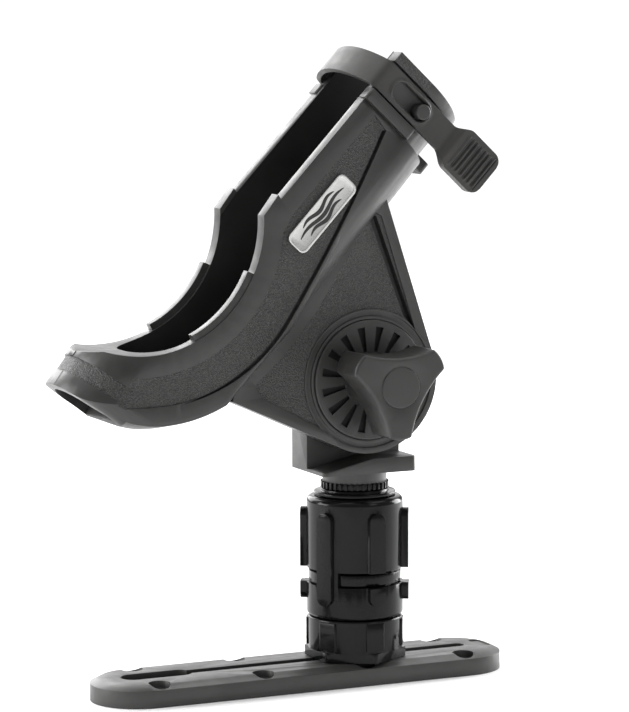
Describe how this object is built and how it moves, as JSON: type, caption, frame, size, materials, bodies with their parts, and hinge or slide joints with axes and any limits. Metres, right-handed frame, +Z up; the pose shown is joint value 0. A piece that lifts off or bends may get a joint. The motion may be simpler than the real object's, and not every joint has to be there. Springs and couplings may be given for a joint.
{
  "type": "rod holder",
  "caption": "Open-trough fishing rod holder that tilts on a swivel post; a locking adapter slides in a flat T-slot track.",
  "frame": {"origin": "middle of the track's underside", "axes": "+X along the track towards the ring end of the rod trough, +Z up, the tilt knob faces -Y"},
  "size_m": [0.2187, 0.0885, 0.2922],
  "materials": {
    "moulded_plastic": "black glass-filled nylon, fine pebbled fields between smooth bands",
    "sleeve_plastic": "smooth black moulding, slightly polished",
    "track_plastic": "black moulded track, satin",
    "strap_rubber": "soft black rubber, matt",
    "badge_silver": "bright silver plate",
    "steel": "stainless fasteners",
    "knob_plastic": "black moulding, satin"
  },
  "bodies": {
    "track": {"track_plate": "track_plastic"},
    "adapter": {"t_bolt": "steel", "clamp_washer": "steel", "clamp_nut": "steel", "adapter_base": "sleeve_plastic", "socket_core": "sleeve_plastic"},
    "collar": {"locking_sleeve": "sleeve_plastic", "lock_ring": "sleeve_plastic"},
    "post": {"post_bracket": "moulded_plastic", "gear_ring": "sleeve_plastic", "bracket_ratchet": "moulded_plastic", "retaining_ring": "steel", "clamp_bolt": "steel"},
    "cradle": {"cradle_shell": "moulded_plastic", "cradle_ratchet": "moulded_plastic", "slotted_disc": "knob_plastic", "badge": "badge_silver", "strap_band": "strap_rubber", "strap_peg": "moulded_plastic", "strap_anchor": "steel"},
    "knob": {"knob": "knob_plastic", "knob_insert": "steel", "knob_cap": "knob_plastic"},
    "strap_flap": {"strap_flap": "strap_rubber"}
  },
  "joints": [
    {"name": "track_slide", "type": "slide", "parent": "track", "child": "adapter", "axis": [1, 0, 0], "range_m": [-0.095, 0.04]},
    {"name": "sleeve_turn", "type": "hinge", "parent": "adapter", "child": "collar", "pos_m": [0.0285, 0, 0.058], "axis": [0, 0, 1], "range_deg": [0, 60]},
    {"name": "post_swivel", "type": "hinge", "parent": "adapter", "child": "post", "pos_m": [0.0285, 0, 0.09], "axis": [0, 0, 1], "continuous": true},
    {"name": "cradle_tilt", "type": "hinge", "parent": "post", "child": "cradle", "pos_m": [0.0285, -0.01, 0.141], "axis": [0, 1, 0], "range_deg": [-35, 60]},
    {"name": "knob_turn", "type": "hinge", "parent": "cradle", "child": "knob", "pos_m": [0.0285, -0.03, 0.141], "axis": [0, 1, 0], "continuous": true},
    {"name": "strap_swing", "type": "hinge", "parent": "cradle", "child": "strap_flap", "pos_m": [0.03273, -0.0239, 0.27963], "axis": [0.6845, 0, 0.729], "range_deg": [-110, 0]}
  ]
}
